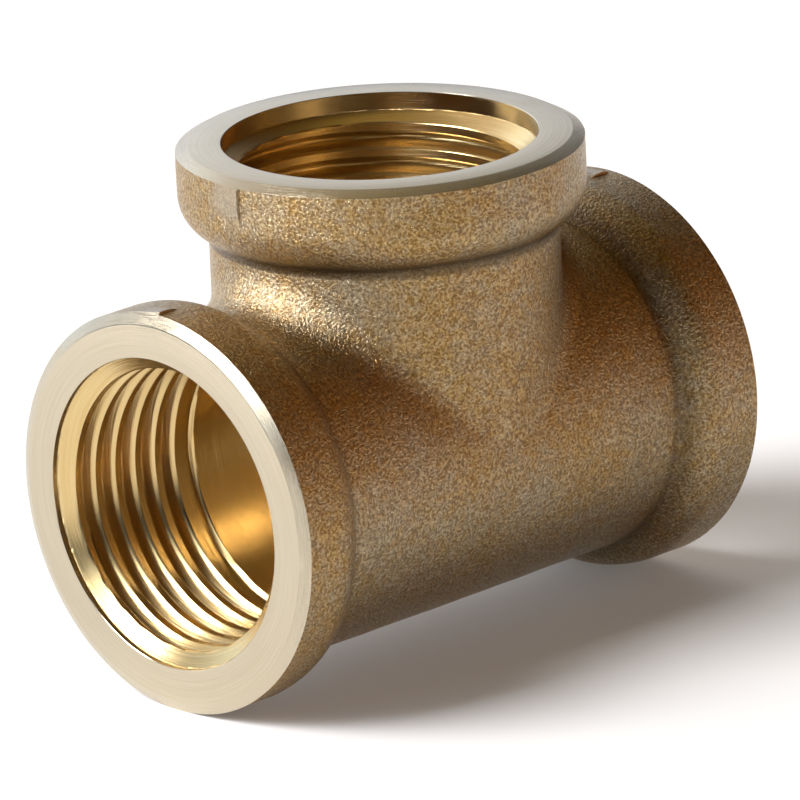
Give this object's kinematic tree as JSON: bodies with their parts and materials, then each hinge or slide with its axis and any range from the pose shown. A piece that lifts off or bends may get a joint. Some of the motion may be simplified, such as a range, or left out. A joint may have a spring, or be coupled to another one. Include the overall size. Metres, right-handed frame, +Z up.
{
  "type": "tee fitting",
  "caption": "Cast brass pipe tee with banded collars and internally threaded sockets on the run and the branch.",
  "frame": {"origin": "bottom centre of the box: on the surface that the two run collars stand on, midway between the run faces and under the branch axis", "axes": "+X along the run towards its right-hand socket, +Z up along the branch towards its mouth, +Y completes the right-handed set"},
  "size_m": [0.043, 0.0274, 0.0347],
  "materials": {
    "brass": "blasted casting, machined bright at the end faces, bevels, counterbores and threads"
  },
  "bodies": {
    "root": {"tee_body": "brass"}
  },
  "joints": []
}
